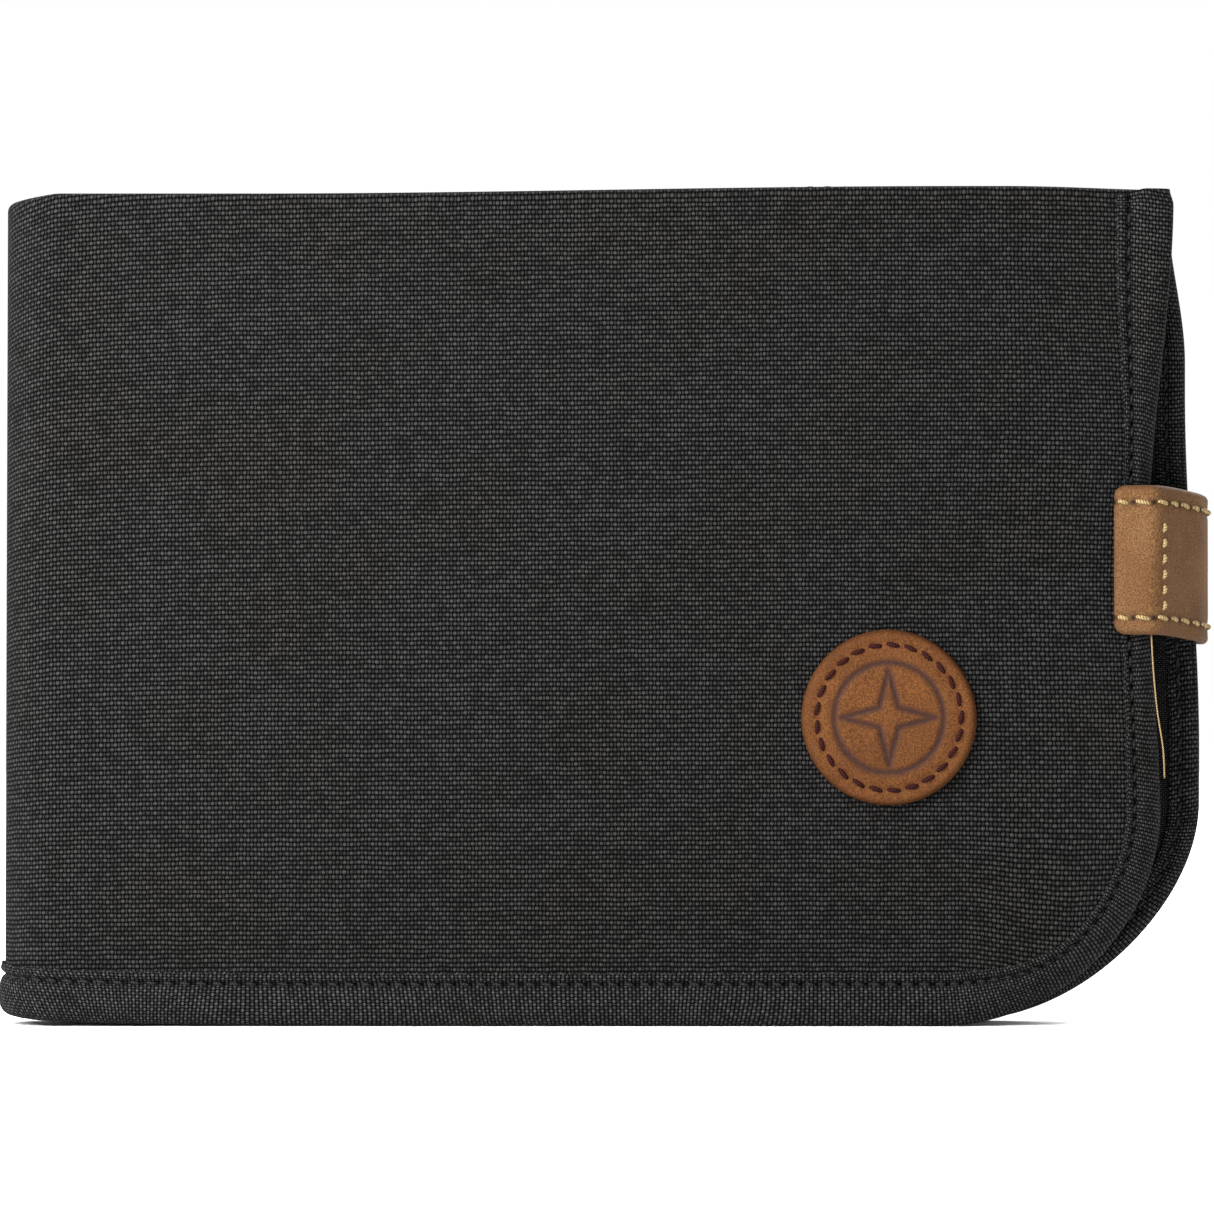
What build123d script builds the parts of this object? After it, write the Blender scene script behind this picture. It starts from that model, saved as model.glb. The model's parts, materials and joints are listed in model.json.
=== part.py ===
from build123d import *
import math
import os

# A bifold passport holder wallet, closed and standing on its bound bottom edge.
#
# Frame: +X runs from the rolled spine to the open edge, -Y is the outer face of the front cover and
# +Z is up, towards the open top of the banknote compartment. The origin is the middle of the base.
# "Depth" below is the distance from the fold plane between the two covers. It grows outwards on both
# covers: a back layer lies at y = FOLD_Y + depth and a front layer at y = FOLD_Y - depth.

# Driving dimensions, in millimetres
HEIGHT = 105.6
SPINE_LEFT = -76.2  # outermost point of the rolled spine
FRONT_RIGHT = 70.0  # open edge of the front cover
BACK_RIGHT = 72.6  # open edge of the back cover, which shows past the front one
CORNER_RADIUS = 28.0  # lower corner at the open edge
PASSPORT_WIDTH = 125.0  # the standard booklet, 125 x 88 mm
PASSPORT_ROOM = 4.2  # thickness kept free for the booklet

# Layers of each cover, as depths
TAPE = 0.5
TAPE_WIDTH = 6.7
TAPE_OUTER = 7.0
COVER_OUTER = TAPE_OUTER - TAPE
COVER_INNER = 5.8
STIFFENER_INNER = 4.8
LINING_INNER = 4.5
PANEL_OUTER = 4.1
PANEL_INNER = 3.7
TAPE_INNER = PANEL_INNER - TAPE

# Passport pocket, inside the back cover
POCKET_WALL = 0.6
POCKET_FACE = 0.5
POCKET_TOP = 83.5
POCKET_FLOOR = 11.2
POCKET_LEFT = -68.3
POCKET_WIDTH = PASSPORT_WIDTH + 1.2
POCKET_CORNER = 1.0
POCKET_HEM = 0.3
POCKET_HEM_WIDTH = 5.0

# Card slots, inside the front cover
CARD_SLOTS = 4
CARD_SLOT_WIDTH = 94.0
CARD_SLOT_THICKNESS = 0.45
CARD_SLOT_LEFT = -58.0
CARD_SLOT_BOTTOM = 9.0
CARD_SLOT_TOP = 84.0
CARD_SLOT_STEP = 12.0

# Leather patch on the front cover
PATCH_X = 35.4
PATCH_Z = 38.8
PATCH_RADIUS = 10.9
PATCH_THICKNESS = 1.4
PATCH_STITCH_RADIUS = 9.3
PATCH_STITCHES = 26

# Leather closing strap
STRAP_CENTRE_Z = 58.1
STRAP_HEIGHT = 18.8
STRAP_THICKNESS = 1.4
STRAP_FRONT_LEFT = 63.8
STRAP_CHAMFER = 1.3
STRAP_BEND_X = 70.8  # bend at the front cover's edge
STRAP_RIGHT = 76.2  # outermost point, at the bend behind the back cover
STRAP_TIP_END = 44.0
STRAP_BEND_GAP = 1.1
STRAP_TIP_DEPTH = 9.1  # inner face of the tip, where the snap holds it off the back cover
STITCH_INSET = 1.9
STITCH_LENGTH = 1.8
STITCH_WIDTH = 0.5
STITCH_PROUD = 0.25
STITCH_PITCH = 2.4

# Ring snap, all centred on the strap tip
SNAP_X = STRAP_TIP_END + STRAP_HEIGHT / 2
STUD_FLANGE_RADIUS = 4.5
STUD_FLANGE_TOP = 7.1
STUD_NECK_RADIUS = 1.5
STUD_NECK_TOP = 7.9
STUD_HEAD_RADIUS = 2.0
STUD_TOP = 8.6
POST_RADIUS = 1.1
POST_TOP = 7.8
POST_FLANGE = 0.2
SOCKET_RADIUS = 5.2
SOCKET_INNER = 7.3
SOCKET_CAVITY_RADIUS = 2.4
SOCKET_CAVITY_TOP = 8.8
SPRING_WIRE = 0.2
SPRING_RADIUS = 2.15
SPRING_DEPTH = 7.55
CAP_RADIUS = 6.0
CAP_DOME = 0.9
CAP_BARREL_RADIUS = 1.4

# Rolled spine: a half ring that the two folds divide into 45, 90 and 45 degrees
FOLD_AT = 135.0
FOLD_GAP = 0.8  # degrees left free each side of a fold

# Places that follow from the above
STRAP_OUTER = TAPE_OUTER + STRAP_THICKNESS
CAP_TOP = STRAP_TIP_DEPTH + STRAP_THICKNESS + CAP_DOME
FOLD_Y = (STRAP_OUTER + STITCH_PROUD - CAP_TOP) / 2  # keeps the closed wallet centred on the origin
SPINE_X = SPINE_LEFT + TAPE_OUTER
POCKET_RIGHT = POCKET_LEFT + POCKET_WIDTH
POCKET_FACE_DEPTH = PANEL_INNER - PASSPORT_ROOM
STRAP_BEND_FRONT = (STRAP_BEND_X, TAPE_OUTER + STRAP_THICKNESS / 2)
STRAP_BEND_BACK = (STRAP_RIGHT - STRAP_THICKNESS / 2, STRAP_TIP_DEPTH + STRAP_THICKNESS / 2)
BACK = 1
FRONT = -1


def block(x_low, x_high, depth_low, depth_high, z_low, z_high, side=BACK):
    """A plain slab between two depths of one cover."""
    width = x_high - x_low
    thickness = depth_high - depth_low
    y_middle = FOLD_Y + side * (depth_low + depth_high) / 2
    place = Pos((x_low + x_high) / 2, y_middle, (z_low + z_high) / 2)
    return place * Box(width, thickness, z_high - z_low)


def disc(x, z, radius, depth_low, depth_high, side=BACK):
    """A round piece whose axis runs through the covers."""
    y_middle = FOLD_Y + side * (depth_low + depth_high) / 2
    return Pos(x, y_middle, z) * Rot(90, 0, 0) * Cylinder(radius, depth_high - depth_low)


def cornered_slab(right, bottom, top, radius, depth_low, depth_high, side):
    """A flat layer that starts at the spine and has its lower open corner rounded."""
    slab = block(SPINE_X, right, depth_low, depth_high, bottom, top, side)
    corner = slab.edges().filter_by(Axis.Y).sort_by(Axis.X)[-2:].sort_by(Axis.Z)[0]
    return fillet(corner, radius)


def ring_sector(inner, outer, start, end, z_low, z_high):
    """Part of a vertical ring around the spine's centre line, between two angles in degrees."""

    def at(radius, angle):
        turned = math.radians(angle)
        return (SPINE_X + radius * math.cos(turned), FOLD_Y + radius * math.sin(turned))

    middle = (start + end) / 2
    outline = [
        ThreePointArc(at(outer, start), at(outer, middle), at(outer, end)),
        Line(at(outer, end), at(inner, end)),
        ThreePointArc(at(inner, end), at(inner, middle), at(inner, start)),
        Line(at(inner, start), at(outer, start)),
    ]
    return Pos(0, 0, z_low) * extrude(make_face(outline), z_high - z_low)


def cover_layer(side, right, bottom, top, radius, depth_low, depth_high):
    """A cover's layer: the flat part and its share of the rolled spine."""
    flat = cornered_slab(right, bottom, top, radius, depth_low, depth_high, side)
    start, end = (90, FOLD_AT - FOLD_GAP) if side == BACK else (360 - FOLD_AT + FOLD_GAP, 270)
    return flat + ring_sector(depth_low, depth_high, start, end, bottom, top)


def inside_binding(side, right, depth_low, depth_high):
    """A layer that the edge binding wraps: it stops one tape thickness short of the edges."""
    return cover_layer(
        side, right - TAPE, TAPE, HEIGHT, CORNER_RADIUS - TAPE, depth_low, depth_high
    )


def cover_binding(side, right):
    """The tape folded round a cover's open edge, lower corner and bottom edge."""
    outside = cover_layer(side, right, 0, HEIGHT, CORNER_RADIUS, TAPE_INNER, TAPE_OUTER)
    window = cover_layer(
        side,
        right - TAPE_WIDTH,
        TAPE_WIDTH,
        HEIGHT + 1,
        CORNER_RADIUS - TAPE_WIDTH,
        TAPE_INNER,
        TAPE_OUTER,
    )
    layers = cover_layer(
        side, right - TAPE, TAPE, HEIGHT + 1, CORNER_RADIUS - TAPE, PANEL_INNER, COVER_OUTER
    )
    return outside - window - layers


def spine_layer(depth_low, depth_high, bottom, top):
    """The middle part of the rolled spine, between the two folds."""
    start = FOLD_AT + FOLD_GAP
    return ring_sector(depth_low, depth_high, start, 360 - start, bottom, top)


def spine_binding():
    """The tape folded round the spine's bottom edge."""
    layers = spine_layer(PANEL_INNER, COVER_OUTER, TAPE, TAPE_WIDTH + 1)
    return spine_layer(TAPE_INNER, TAPE_OUTER, 0, TAPE_WIDTH) - layers


def snap_hole(radius):
    """A drill through the back cover or the strap tip, on the snap's axis."""
    return disc(SNAP_X, STRAP_CENTRE_Z, radius, 0, CAP_TOP + 1)


def stiffener(side, right):
    """The foam board inside a cover. It stops short of the rolled spine."""
    slab = cornered_slab(
        right - TAPE, TAPE, HEIGHT - 4, CORNER_RADIUS - TAPE, STIFFENER_INNER, COVER_INNER, side
    )
    return slab - block(SPINE_X - 1, SPINE_X + 2, STIFFENER_INNER, COVER_INNER, 0, HEIGHT, side)


def pocket_outline(margin):
    """The passport pocket's outline in plan, open at the top, grown by a margin."""
    width = POCKET_WIDTH + 2 * margin
    height = POCKET_TOP - POCKET_FLOOR + margin
    place = Pos((POCKET_LEFT + POCKET_RIGHT) / 2, 0, POCKET_TOP - height / 2) * Rot(90, 0, 0)
    sheet = Rectangle(width, height)
    lower = sheet.vertices().group_by(Axis.Y)[0]
    return place * fillet(lower, POCKET_CORNER + margin)


def pocket_slab(margin, depth_low, depth_high):
    """The pocket's outline as a slab between two depths on the back cover's side."""
    slab = extrude(pocket_outline(margin), (depth_high - depth_low) / 2, both=True)
    return Pos(0, FOLD_Y + (depth_low + depth_high) / 2, 0) * slab


def pocket_gusset():
    """The strip that stands the pocket's face off the panel on three sides. The edge binding laps
    its lower corner at the open edge."""
    outside = pocket_slab(POCKET_WALL, POCKET_FACE_DEPTH, PANEL_INNER)
    inside = pocket_slab(0, POCKET_FACE_DEPTH, PANEL_INNER)
    return outside - inside - cover_binding(BACK, BACK_RIGHT)


def pocket_face():
    """The pocket's front wall."""
    return pocket_slab(POCKET_WALL, POCKET_FACE_DEPTH - POCKET_FACE, POCKET_FACE_DEPTH)


def pocket_hem():
    """The tape sewn along the mouth of the pocket."""
    outer_face = POCKET_FACE_DEPTH - POCKET_FACE
    return block(
        POCKET_LEFT - POCKET_WALL,
        POCKET_RIGHT + POCKET_WALL,
        outer_face - POCKET_HEM,
        outer_face,
        POCKET_TOP - POCKET_HEM_WIDTH,
        POCKET_TOP,
    )


def card_slot(number):
    """One tier of the card slots. Each lower tier lies on the one above it."""
    depth_high = PANEL_INNER - number * CARD_SLOT_THICKNESS
    return block(
        CARD_SLOT_LEFT,
        CARD_SLOT_LEFT + CARD_SLOT_WIDTH,
        depth_high - CARD_SLOT_THICKNESS,
        depth_high,
        CARD_SLOT_BOTTOM,
        CARD_SLOT_TOP - number * CARD_SLOT_STEP,
        FRONT,
    )


def stitch(x, z, angle, depth, side):
    """One visible stitch lying on a leather face, turned by an angle in the face's plane."""
    y_middle = FOLD_Y + side * (depth + STITCH_PROUD / 2)
    bar = Box(STITCH_LENGTH, STITCH_PROUD, STITCH_WIDTH)
    return Pos(x, y_middle, z) * Rot(0, -angle, 0) * bar


def patch_stitching():
    """A ring of stitches round the patch."""
    step = 360 / PATCH_STITCHES
    ring = []
    for number in range(PATCH_STITCHES):
        turned = math.radians(number * step)
        x = PATCH_X + PATCH_STITCH_RADIUS * math.cos(turned)
        z = PATCH_Z + PATCH_STITCH_RADIUS * math.sin(turned)
        depth = COVER_OUTER + PATCH_THICKNESS
        ring.append(stitch(x, z, number * step + 90, depth, FRONT))
    return Compound(children=ring)


def strap_front():
    """The end of the strap that is sewn to the front cover's bound edge."""
    low = STRAP_CENTRE_Z - STRAP_HEIGHT / 2
    high = STRAP_CENTRE_Z + STRAP_HEIGHT / 2
    right = STRAP_BEND_X - STRAP_BEND_GAP
    slab = block(STRAP_FRONT_LEFT, right, TAPE_OUTER, STRAP_OUTER, low, high, FRONT)
    corners = slab.edges().filter_by(Axis.Y).group_by(Axis.X)[0]
    return chamfer(corners, STRAP_CHAMFER)


def strap_stitching():
    """Stitches along the two long edges of the strap's sewn end, and one row across it."""
    half = STRAP_HEIGHT / 2 - STITCH_INSET
    row = []
    for z in (STRAP_CENTRE_Z - half, STRAP_CENTRE_Z + half):
        for number in range(2):
            x = STRAP_FRONT_LEFT + STITCH_INSET + number * STITCH_PITCH
            row.append(stitch(x, z, 0, STRAP_OUTER, FRONT))
    across = int((2 * half) / STITCH_PITCH)
    for number in range(1, across):
        z = STRAP_CENTRE_Z - half + number * STITCH_PITCH
        row.append(stitch(STRAP_FRONT_LEFT + STITCH_INSET, z, 90, STRAP_OUTER, FRONT))
    return Compound(children=row)


def strap_side():
    """The stretch of strap that crosses the wallet's thickness, between the two bends."""
    run_x = STRAP_BEND_BACK[0] - STRAP_BEND_FRONT[0]
    run_y = STRAP_BEND_BACK[1] + STRAP_BEND_FRONT[1]
    length = math.hypot(run_x, run_y) - STRAP_BEND_GAP
    band = Pos(length / 2, 0) * Rectangle(length, STRAP_THICKNESS)
    end = Circle(STRAP_THICKNESS / 2)
    turn = math.degrees(math.atan2(run_y, run_x))
    start = Pos(STRAP_BEND_FRONT[0], FOLD_Y - STRAP_BEND_FRONT[1], STRAP_CENTRE_Z)
    return start * Rot(0, 0, turn) * extrude(band + end, STRAP_HEIGHT / 2, both=True)


def strap_tip():
    """The free end of the strap, behind the back cover, with a round end and the snap's hole."""
    low = STRAP_CENTRE_Z - STRAP_HEIGHT / 2
    high = STRAP_CENTRE_Z + STRAP_HEIGHT / 2
    outer = STRAP_TIP_DEPTH + STRAP_THICKNESS
    band = block(SNAP_X, STRAP_BEND_BACK[0], STRAP_TIP_DEPTH, outer, low, high)
    bend = Pos(STRAP_BEND_BACK[0], FOLD_Y + STRAP_BEND_BACK[1], STRAP_CENTRE_Z)
    knuckle = bend * Cylinder(STRAP_THICKNESS / 2, STRAP_HEIGHT)
    round_end = disc(SNAP_X, STRAP_CENTRE_Z, STRAP_HEIGHT / 2, STRAP_TIP_DEPTH, outer)
    return band + knuckle + round_end - snap_hole(CAP_BARREL_RADIUS)


def snap_stud():
    """The male half of the snap, on the outside of the back cover."""
    flange = disc(SNAP_X, STRAP_CENTRE_Z, STUD_FLANGE_RADIUS, COVER_OUTER, STUD_FLANGE_TOP)
    neck = disc(SNAP_X, STRAP_CENTRE_Z, STUD_NECK_RADIUS, STUD_FLANGE_TOP, STUD_NECK_TOP)
    head = disc(SNAP_X, STRAP_CENTRE_Z, STUD_HEAD_RADIUS, STUD_NECK_TOP, STUD_TOP)
    bore = disc(SNAP_X, STRAP_CENTRE_Z, POST_RADIUS, COVER_OUTER, POST_TOP)
    return flange + neck + head - bore


def snap_post():
    """The rivet inside the banknote compartment that holds the stud on."""
    flange = disc(
        SNAP_X, STRAP_CENTRE_Z, STUD_FLANGE_RADIUS, LINING_INNER - POST_FLANGE, LINING_INNER
    )
    barrel = disc(SNAP_X, STRAP_CENTRE_Z, POST_RADIUS, LINING_INNER, POST_TOP)
    return flange + barrel


def snap_socket():
    """The female half of the snap, on the inner face of the strap tip."""
    body = disc(SNAP_X, STRAP_CENTRE_Z, SOCKET_RADIUS, SOCKET_INNER, STRAP_TIP_DEPTH)
    cavity = disc(SNAP_X, STRAP_CENTRE_Z, SOCKET_CAVITY_RADIUS, SOCKET_INNER, SOCKET_CAVITY_TOP)
    return body - cavity - snap_hole(CAP_BARREL_RADIUS)


def snap_spring():
    """The wire ring in the socket that closes round the stud's neck."""
    place = Pos(SNAP_X, FOLD_Y + SPRING_DEPTH, STRAP_CENTRE_Z) * Rot(90, 0, 0)
    return place * Torus(SPRING_RADIUS, SPRING_WIRE)


def snap_cap():
    """The domed cap on the outside of the strap tip, with the barrel that holds the socket."""
    face = STRAP_TIP_DEPTH + STRAP_THICKNESS
    sphere_radius = (CAP_RADIUS**2 + CAP_DOME**2) / (2 * CAP_DOME)
    sphere = Pos(SNAP_X, FOLD_Y + CAP_TOP - sphere_radius, STRAP_CENTRE_Z) * Sphere(sphere_radius)
    dome = sphere & disc(SNAP_X, STRAP_CENTRE_Z, CAP_RADIUS + 1, face, CAP_TOP + 1)
    barrel = disc(SNAP_X, STRAP_CENTRE_Z, CAP_BARREL_RADIUS, SOCKET_CAVITY_TOP, face)
    return dome + barrel


def back_nodes():
    """The back cover with its lining, panel, passport pocket and half of the snap."""
    drill = snap_hole(POST_RADIUS)
    cover = inside_binding(BACK, BACK_RIGHT, COVER_INNER, COVER_OUTER)
    lining = inside_binding(BACK, BACK_RIGHT, LINING_INNER, STIFFENER_INNER)
    hole_in_layers = drill & block(
        SNAP_X - 3, SNAP_X + 3, LINING_INNER, COVER_OUTER, STRAP_CENTRE_Z - 3, STRAP_CENTRE_Z + 3
    )
    return {
        "back_cover": cover - hole_in_layers,
        "back_stiffener": stiffener(BACK, BACK_RIGHT) - hole_in_layers,
        "back_lining": lining - hole_in_layers,
        "back_inner_panel": inside_binding(BACK, BACK_RIGHT, PANEL_INNER, PANEL_OUTER),
        "back_binding": cover_binding(BACK, BACK_RIGHT),
        "passport_pocket_gusset": pocket_gusset(),
        "passport_pocket_face": pocket_face(),
        "passport_pocket_hem": pocket_hem(),
        "snap_stud": snap_stud(),
        "snap_post": snap_post(),
    }


def spine_nodes():
    """The part of the rolled spine between the two folds."""
    return {
        "spine_cover": spine_layer(COVER_INNER, COVER_OUTER, TAPE, HEIGHT),
        "spine_lining": spine_layer(LINING_INNER, STIFFENER_INNER, TAPE, HEIGHT),
        "spine_inner_panel": spine_layer(PANEL_INNER, PANEL_OUTER, TAPE, HEIGHT),
        "spine_binding": spine_binding(),
    }


def front_nodes():
    """The front cover with its lining, panel, card slots, patch and the strap's sewn end."""
    nodes = {
        "front_cover": inside_binding(FRONT, FRONT_RIGHT, COVER_INNER, COVER_OUTER),
        "front_stiffener": stiffener(FRONT, FRONT_RIGHT),
        "front_lining": inside_binding(FRONT, FRONT_RIGHT, LINING_INNER, STIFFENER_INNER),
        "front_inner_panel": inside_binding(FRONT, FRONT_RIGHT, PANEL_INNER, PANEL_OUTER),
        "front_binding": cover_binding(FRONT, FRONT_RIGHT),
        "leather_patch": disc(
            PATCH_X, PATCH_Z, PATCH_RADIUS, COVER_OUTER, COVER_OUTER + PATCH_THICKNESS, FRONT
        ),
        "patch_stitching": patch_stitching(),
        "strap_front": strap_front(),
        "strap_stitching": strap_stitching(),
    }
    for number in range(CARD_SLOTS):
        nodes[f"card_slot_{number + 1}"] = card_slot(number)
    return nodes


def strap_nodes():
    """The strap past its first bend, with the other half of the snap."""
    return {
        "strap_side": strap_side(),
        "strap_tip": strap_tip(),
        "snap_socket": snap_socket(),
        "snap_spring": snap_spring(),
        "snap_cap": snap_cap(),
    }


os.makedirs("parts", exist_ok=True)
for name, shape in {**back_nodes(), **spine_nodes(), **front_nodes(), **strap_nodes()}.items():
    export_step(shape, f"parts/{name}.step")
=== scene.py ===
import json
import math

import bmesh
import bpy
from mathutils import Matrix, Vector, noise


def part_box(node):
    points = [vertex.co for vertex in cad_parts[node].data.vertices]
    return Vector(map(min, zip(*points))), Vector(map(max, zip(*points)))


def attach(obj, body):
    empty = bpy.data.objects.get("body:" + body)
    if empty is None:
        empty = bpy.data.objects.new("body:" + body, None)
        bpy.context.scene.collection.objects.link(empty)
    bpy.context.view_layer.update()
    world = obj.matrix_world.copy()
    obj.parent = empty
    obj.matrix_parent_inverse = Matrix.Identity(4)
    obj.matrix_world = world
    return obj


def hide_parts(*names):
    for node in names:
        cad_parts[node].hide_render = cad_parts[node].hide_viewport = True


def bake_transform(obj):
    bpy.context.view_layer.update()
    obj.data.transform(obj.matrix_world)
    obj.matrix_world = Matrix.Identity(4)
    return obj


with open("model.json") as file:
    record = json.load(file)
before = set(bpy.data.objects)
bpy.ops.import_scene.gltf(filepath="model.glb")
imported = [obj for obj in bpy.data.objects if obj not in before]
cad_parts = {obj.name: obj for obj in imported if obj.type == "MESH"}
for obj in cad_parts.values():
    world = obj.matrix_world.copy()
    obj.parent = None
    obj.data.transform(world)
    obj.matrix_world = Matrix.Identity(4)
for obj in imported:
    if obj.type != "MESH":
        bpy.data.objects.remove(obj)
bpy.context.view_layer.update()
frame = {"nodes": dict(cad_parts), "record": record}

# A closed canvas wallet with a rolled spine at -X, its open edge at +X and its front cover facing -Y.
# Every soft piece is laid out on a cover in three numbers, in metres: "along", the cloth's length from
# the middle of the spine towards the open edge, "z", the height, and "depth", how far outside the
# fold plane between the covers it lies. place() turns them into a point in the frame.

MM = 0.001
record = frame["record"]
joints = {joint["name"]: joint for joint in record["behaviour"]["joints"]}

# ---------------------------------------------------------------- sizes read from the frame
BACK, FRONT = 1, -1
SIDE_NAME = {BACK: "back", FRONT: "front"}
fold_back = Vector(joints["spine_fold_back"]["pos_m"])
fold_front = Vector(joints["spine_fold_front"]["pos_m"])
strap_bend_front = Vector(joints["strap_bend_front"]["pos_m"])
strap_bend_back = Vector(joints["strap_bend_back"]["pos_m"])
FOLD_Y = (fold_back.y + fold_front.y) / 2
ROLL = (fold_back.y - fold_front.y) / math.sqrt(2)  # the rolled spine's outer radius
SPINE_X = fold_back.x + ROLL / math.sqrt(2)
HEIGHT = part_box("front_cover")[1][2]
RIGHT = {BACK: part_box("back_binding")[1][0], FRONT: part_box("front_binding")[1][0]}
QUARTER = ROLL * math.pi / 2  # length of cloth from the middle of the spine to the flat part


def depths_of(node, side):
    """(inner, outer) depth of a flat CAD node."""
    low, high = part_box(node)
    ends = sorted(side * (y - FOLD_Y) for y in (low[1], high[1]))
    return ends[0], ends[1]


COVER_OUTER = depths_of("front_cover", FRONT)[1]
BOARD_INNER, BOARD_OUTER = depths_of("front_stiffener", FRONT)
LINING_OUTER = depths_of("front_lining", FRONT)[1]
PANEL_OUTER = depths_of("front_inner_panel", FRONT)[1]
TAPE_OUTER = depths_of("front_binding", FRONT)[1]

# ---------------------------------------------------------------- sizes of the cloth and its seams
CORNER = 28 * MM
TAPE_WIDTH = 6.7 * MM
TAPE_STITCH_INSET = 5.3 * MM
INNER_TAPE_WIDTH = 3.9 * MM
INNER_STITCH_INSET = 2.65 * MM
TAPE_STITCH_PITCH = 2.07 * MM
CANVAS = 0.7 * MM
LINING = 0.3 * MM
PANEL = 0.4 * MM
HEM = 8 * MM
MESH_STEP = 0.9 * MM
CUT_EDGE = 0.6 * MM  # how far inside the bound edge the cloth is cut
PULL_REACH = 46 * MM  # how far in from the bound edge the cloth strays from its pattern
PATCH_THICK = 1.35 * MM
PATCH_STITCHES = 25
STRAP_HALF = 9.4 * MM
STRAP_THICK = 1.4 * MM
STRAP_PITCH = 2.4 * MM
STRAP_SEAM = STRAP_HALF - 2.15 * MM
STRAP_STITCH_DEPTH = STRAP_THICK / 2 - 0.16 * MM
FIRST_STRAP_STITCH = 0.4 * MM

snap_low, snap_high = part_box("snap_stud")
SNAP_X = (snap_low[0] + snap_high[0]) / 2
SNAP_Z = (snap_low[2] + snap_high[2]) / 2


def smooth(t):
    """0 below 0, 1 above 1 and a smooth rise between."""
    t = max(0.0, min(1.0, t))
    return t * t * (3 - 2 * t)


def bell(t):
    """1 at 0, falling away smoothly on both sides."""
    return math.exp(-t * t / 2)


# ---------------------------------------------------------------- the wallet's shape
def nominal_x(along):
    """Where a length of cloth from the middle of the spine lies along X, past the roll."""
    return SPINE_X + along - QUARTER


def along_at(x):
    """The length of cloth from the middle of the spine to a place on the flat part."""
    return x - SPINE_X + QUARTER


def edge_distance(side, x, z):
    """How far inside the cover's bound edge a point lies."""
    to_right, to_bottom = RIGHT[side] - x, z
    if to_right < CORNER and to_bottom < CORNER:
        return CORNER - math.hypot(CORNER - to_right, CORNER - to_bottom)
    return min(to_right, to_bottom)


def edge_shift(side, x, z):
    """How the cloth near the open edge strays from its straight pattern: (to the right, up, inwards).

    The strap pulls the front cover's edge in and rolls it back, so its binding looks narrow there. The
    back cover's edge spreads out below the strap.
    """
    inset = edge_distance(side, x, z)
    fade = smooth((PULL_REACH - inset) / (PULL_REACH - TAPE_WIDTH))
    if fade == 0:
        return 0.0, 0.0, 0.0
    height = z / MM
    snub = 0.5 * smooth((height - 103.6) / 2)
    if side == BACK:
        spread = 1.0 + 1.8 * smooth((80 - height) / 45) - 2.2 * smooth((height - 84) / 20)
        return (spread * smooth(z / CORNER) - snub) * fade * MM, 0.0, 0.0
    turned = smooth((x - 44 * MM) / (14 * MM))
    rolled = turned * smooth((98 - height) / 30)
    at_edge = 1.3 * smooth((height - 76) / 29) - 1.9 * bell((height - 58) / 14) - snub
    at_seam = 0.8 * turned + 1.3 * rolled - 0.8 * bell((height - 56) / 10)
    share = max(0.0, 1 - inset / TAPE_WIDTH)
    push = (at_seam * (1 - share) + at_edge * share) * fade * MM
    across, below = max(0.0, CORNER - RIGHT[side] + x), max(0.0, CORNER - z)
    reach = math.hypot(across, below) or 1.0
    if below == 0:
        across, reach = 1.0, 1.0
    return push * across / reach, -push * below / reach, 2.6 * MM * rolled * share**1.7


def top_line(along):
    """How far the top edge lies above or below its straight line."""
    if along < QUARTER:
        return (-0.8 - 0.9 * math.cos(along / ROLL)) * MM
    x = nominal_x(along) / MM
    return (-0.8 + 0.95 * smooth((x + 45) / 90) - 0.5 * smooth((x - 50) / 20)) * MM


def bottom_line(along):
    """How far the bottom edge is lifted off the ground, near the spine."""
    return 1.3 * MM * math.exp(-along / (13 * MM))


def swell(side, along, z):
    """How far the padded panel stands out past its flat layers: least at the seams and the snap."""
    x = nominal_x(along)
    inside = edge_distance(side, x, z) - TAPE_STITCH_INSET
    seam = 1 - math.exp(-max(0.0, inside) / (3.2 * MM))
    top = 1 - math.exp(-max(0.0, HEIGHT - z) / (5 * MM))
    flat = smooth(along / QUARTER - 0.2)
    wave = noise.noise(Vector((x * 28, z * 22, side * 3.0))) * 0.22 + 0.5
    dome = math.sin(math.pi * min(1.0, along / along_at(RIGHT[side]))) * math.sin(math.pi * z / HEIGHT)
    strap = bell((z - strap_bend_front.z) / (13 * MM)) * smooth(1 - (RIGHT[side] - x) / (24 * MM))
    held = 1.0
    if side == BACK:
        held = smooth((math.hypot(x - SNAP_X, z - SNAP_Z) - 6 * MM) / (9 * MM))
    return (seam * (0.35 + 0.45 * top) * wave + 0.5 * dome * seam - 0.5 * strap) * flat * held * MM


def place(side, along, z, depth):
    """The point in the frame for a place on a cover."""
    turned = min(along / ROLL, math.pi / 2)
    over = max(0.0, along - QUARTER)
    right, up, inwards = edge_shift(side, SPINE_X + over, z) if over else (0.0, 0.0, 0.0)
    depth -= inwards
    share = z / HEIGHT
    lean = (0.35 * share - 0.45) * MM * smooth(1 - along / (3 * QUARTER))
    x = SPINE_X - depth * math.cos(turned) + over + right + lean
    y = FOLD_Y + side * depth * math.sin(turned)
    return Vector((x, y, z + up + share * top_line(along) + (1 - share) * bottom_line(along)))


def cover_depth(side, along, z):
    """Depth of the canvas's outer face."""
    return COVER_OUTER + swell(side, along, z)


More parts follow.
